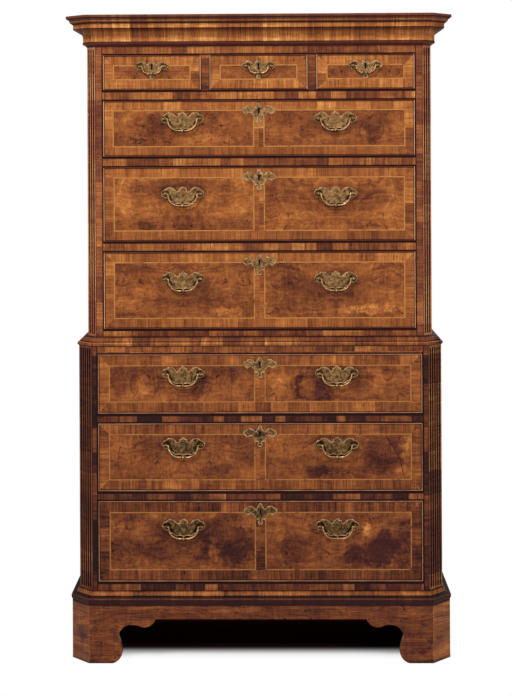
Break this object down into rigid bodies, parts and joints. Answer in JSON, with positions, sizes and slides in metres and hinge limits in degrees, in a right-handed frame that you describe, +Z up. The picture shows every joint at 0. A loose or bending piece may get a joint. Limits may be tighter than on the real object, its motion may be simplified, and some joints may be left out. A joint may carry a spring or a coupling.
{
  "type": "tallboy chest of drawers",
  "caption": "Tall walnut chest-on-chest with a moulded cornice, canted fluted corners, crossbanded drawers, brass bail handles and bracket feet.",
  "frame": {"origin": "on the floor, in the middle of the area that the whole piece covers", "axes": "+Z up, the front faces -Y, +X to the right as the front is faced"},
  "size_m": [1.106, 0.57, 1.84],
  "materials": {
    "veneered_walnut": "waxed veneer",
    "crossgrain_walnut": "waxed cross-grain veneer and moulding",
    "solid_walnut": "waxed",
    "pine": "bare, aged",
    "oak": "bare, aged",
    "brass": "aged, rubbed"
  },
  "bodies": {
    "carcase": {"cornice_crown_moulding": "crossgrain_walnut", "cornice_frieze_and_necking": "crossgrain_walnut", "upper_case_sides": "veneered_walnut", "upper_case_top_and_bottom_boards": "pine", "upper_case_back_boards": "pine", "upper_corner_posts": "crossgrain_walnut", "upper_drawer_rails": "crossgrain_walnut", "upper_dustboards_and_guides": "pine", "waist_moulding": "crossgrain_walnut", "lower_case_sides": "veneered_walnut", "lower_case_top_and_bottom_boards": "pine", "lower_case_back_boards": "pine", "lower_corner_posts": "crossgrain_walnut", "lower_drawer_rails": "crossgrain_walnut", "lower_dustboards_and_guides": "pine", "base_moulding": "crossgrain_walnut", "bracket_feet": "solid_walnut", "foot_glue_blocks": "pine"},
    "lower_third_drawer": {"lower_third_drawer_front": "veneered_walnut", "lower_third_drawer_box": "oak", "lower_third_drawer_brasses": "brass"},
    "lower_third_drawer_bail_left": {"lower_third_drawer_bail_left": "brass"},
    "lower_third_drawer_bail_right": {"lower_third_drawer_bail_right": "brass"},
    "lower_second_drawer": {"lower_second_drawer_front": "veneered_walnut", "lower_second_drawer_box": "oak", "lower_second_drawer_brasses": "brass"},
    "lower_second_drawer_bail_left": {"lower_second_drawer_bail_left": "brass"},
    "lower_second_drawer_bail_right": {"lower_second_drawer_bail_right": "brass"},
    "lower_first_drawer": {"lower_first_drawer_front": "veneered_walnut", "lower_first_drawer_box": "oak", "lower_first_drawer_brasses": "brass"},
    "lower_first_drawer_bail_left": {"lower_first_drawer_bail_left": "brass"},
    "lower_first_drawer_bail_right": {"lower_first_drawer_bail_right": "brass"},
    "upper_third_drawer": {"upper_third_drawer_front": "veneered_walnut", "upper_third_drawer_box": "oak", "upper_third_drawer_brasses": "brass"},
    "upper_third_drawer_bail_left": {"upper_third_drawer_bail_left": "brass"},
    "upper_third_drawer_bail_right": {"upper_third_drawer_bail_right": "brass"},
    "upper_second_drawer": {"upper_second_drawer_front": "veneered_walnut", "upper_second_drawer_box": "oak", "upper_second_drawer_brasses": "brass"},
    "upper_second_drawer_bail_left": {"upper_second_drawer_bail_left": "brass"},
    "upper_second_drawer_bail_right": {"upper_second_drawer_bail_right": "brass"},
    "upper_first_drawer": {"upper_first_drawer_front": "veneered_walnut", "upper_first_drawer_box": "oak", "upper_first_drawer_brasses": "brass"},
    "upper_first_drawer_bail_left": {"upper_first_drawer_bail_left": "brass"},
    "upper_first_drawer_bail_right": {"upper_first_drawer_bail_right": "brass"},
    "short_left_drawer": {"short_left_drawer_front": "veneered_walnut", "short_left_drawer_box": "oak", "short_left_drawer_brasses": "brass"},
    "short_left_drawer_bail": {"short_left_drawer_bail": "brass"},
    "short_centre_drawer": {"short_centre_drawer_front": "veneered_walnut", "short_centre_drawer_box": "oak", "short_centre_drawer_brasses": "brass"},
    "short_centre_drawer_bail": {"short_centre_drawer_bail": "brass"},
    "short_right_drawer": {"short_right_drawer_front": "veneered_walnut", "short_right_drawer_box": "oak", "short_right_drawer_brasses": "brass"},
    "short_right_drawer_bail": {"short_right_drawer_bail": "brass"}
  },
  "joints": [
    {"name": "lower_third_drawer_slide", "type": "slide", "parent": "carcase", "child": "lower_third_drawer", "axis": [0, -1, 0], "range_m": [0, 0.4]},
    {"name": "lower_third_drawer_bail_left_swing", "type": "hinge", "parent": "lower_third_drawer", "child": "lower_third_drawer_bail_left", "pos_m": [-0.219, -0.2654, 0.3845], "axis": [-1, 0, 0], "range_deg": [-8, 95]},
    {"name": "lower_third_drawer_bail_right_swing", "type": "hinge", "parent": "lower_third_drawer", "child": "lower_third_drawer_bail_right", "pos_m": [0.219, -0.2654, 0.3845], "axis": [-1, 0, 0], "range_deg": [-8, 95]},
    {"name": "lower_second_drawer_slide", "type": "slide", "parent": "carcase", "child": "lower_second_drawer", "axis": [0, -1, 0], "range_m": [0, 0.4]},
    {"name": "lower_second_drawer_bail_left_swing", "type": "hinge", "parent": "lower_second_drawer", "child": "lower_second_drawer_bail_left", "pos_m": [-0.219, -0.2654, 0.6157], "axis": [-1, 0, 0], "range_deg": [-8, 95]},
    {"name": "lower_second_drawer_bail_right_swing", "type": "hinge", "parent": "lower_second_drawer", "child": "lower_second_drawer_bail_right", "pos_m": [0.219, -0.2654, 0.6157], "axis": [-1, 0, 0], "range_deg": [-8, 95]},
    {"name": "lower_first_drawer_slide", "type": "slide", "parent": "carcase", "child": "lower_first_drawer", "axis": [0, -1, 0], "range_m": [0, 0.4]},
    {"name": "lower_first_drawer_bail_left_swing", "type": "hinge", "parent": "lower_first_drawer", "child": "lower_first_drawer_bail_left", "pos_m": [-0.219, -0.2654, 0.8183], "axis": [-1, 0, 0], "range_deg": [-8, 95]},
    {"name": "lower_first_drawer_bail_right_swing", "type": "hinge", "parent": "lower_first_drawer", "child": "lower_first_drawer_bail_right", "pos_m": [0.219, -0.2654, 0.8183], "axis": [-1, 0, 0], "range_deg": [-8, 95]},
    {"name": "upper_third_drawer_slide", "type": "slide", "parent": "carcase", "child": "upper_third_drawer", "axis": [0, -1, 0], "range_m": [0, 0.4]},
    {"name": "upper_third_drawer_bail_left_swing", "type": "hinge", "parent": "upper_third_drawer", "child": "upper_third_drawer_bail_left", "pos_m": [-0.219, -0.24, 1.0862], "axis": [-1, 0, 0], "range_deg": [-8, 95]},
    {"name": "upper_third_drawer_bail_right_swing", "type": "hinge", "parent": "upper_third_drawer", "child": "upper_third_drawer_bail_right", "pos_m": [0.219, -0.24, 1.0862], "axis": [-1, 0, 0], "range_deg": [-8, 95]},
    {"name": "upper_second_drawer_slide", "type": "slide", "parent": "carcase", "child": "upper_second_drawer", "axis": [0, -1, 0], "range_m": [0, 0.4]},
    {"name": "upper_second_drawer_bail_left_swing", "type": "hinge", "parent": "upper_second_drawer", "child": "upper_second_drawer_bail_left", "pos_m": [-0.219, -0.24, 1.3296], "axis": [-1, 0, 0], "range_deg": [-8, 95]},
    {"name": "upper_second_drawer_bail_right_swing", "type": "hinge", "parent": "upper_second_drawer", "child": "upper_second_drawer_bail_right", "pos_m": [0.219, -0.24, 1.3296], "axis": [-1, 0, 0], "range_deg": [-8, 95]},
    {"name": "upper_first_drawer_slide", "type": "slide", "parent": "carcase", "child": "upper_first_drawer", "axis": [0, -1, 0], "range_m": [0, 0.4]},
    {"name": "upper_first_drawer_bail_left_swing", "type": "hinge", "parent": "upper_first_drawer", "child": "upper_first_drawer_bail_left", "pos_m": [-0.219, -0.24, 1.5442], "axis": [-1, 0, 0], "range_deg": [-8, 95]},
    {"name": "upper_first_drawer_bail_right_swing", "type": "hinge", "parent": "upper_first_drawer", "child": "upper_first_drawer_bail_right", "pos_m": [0.219, -0.24, 1.5442], "axis": [-1, 0, 0], "range_deg": [-8, 95]},
    {"name": "short_left_drawer_slide", "type": "slide", "parent": "carcase", "child": "short_left_drawer", "axis": [0, -1, 0], "range_m": [0, 0.4]},
    {"name": "short_left_drawer_bail_swing", "type": "hinge", "parent": "short_left_drawer", "child": "short_left_drawer_bail", "pos_m": [-0.306, -0.24, 1.6948], "axis": [-1, 0, 0], "range_deg": [-14, 95]},
    {"name": "short_centre_drawer_slide", "type": "slide", "parent": "carcase", "child": "short_centre_drawer", "axis": [0, -1, 0], "range_m": [0, 0.4]},
    {"name": "short_centre_drawer_bail_swing", "type": "hinge", "parent": "short_centre_drawer", "child": "short_centre_drawer_bail", "pos_m": [0, -0.24, 1.6948], "axis": [-1, 0, 0], "range_deg": [-14, 95]},
    {"name": "short_right_drawer_slide", "type": "slide", "parent": "carcase", "child": "short_right_drawer", "axis": [0, -1, 0], "range_m": [0, 0.4]},
    {"name": "short_right_drawer_bail_swing", "type": "hinge", "parent": "short_right_drawer", "child": "short_right_drawer_bail", "pos_m": [0.306, -0.24, 1.6948], "axis": [-1, 0, 0], "range_deg": [-14, 95]}
  ]
}
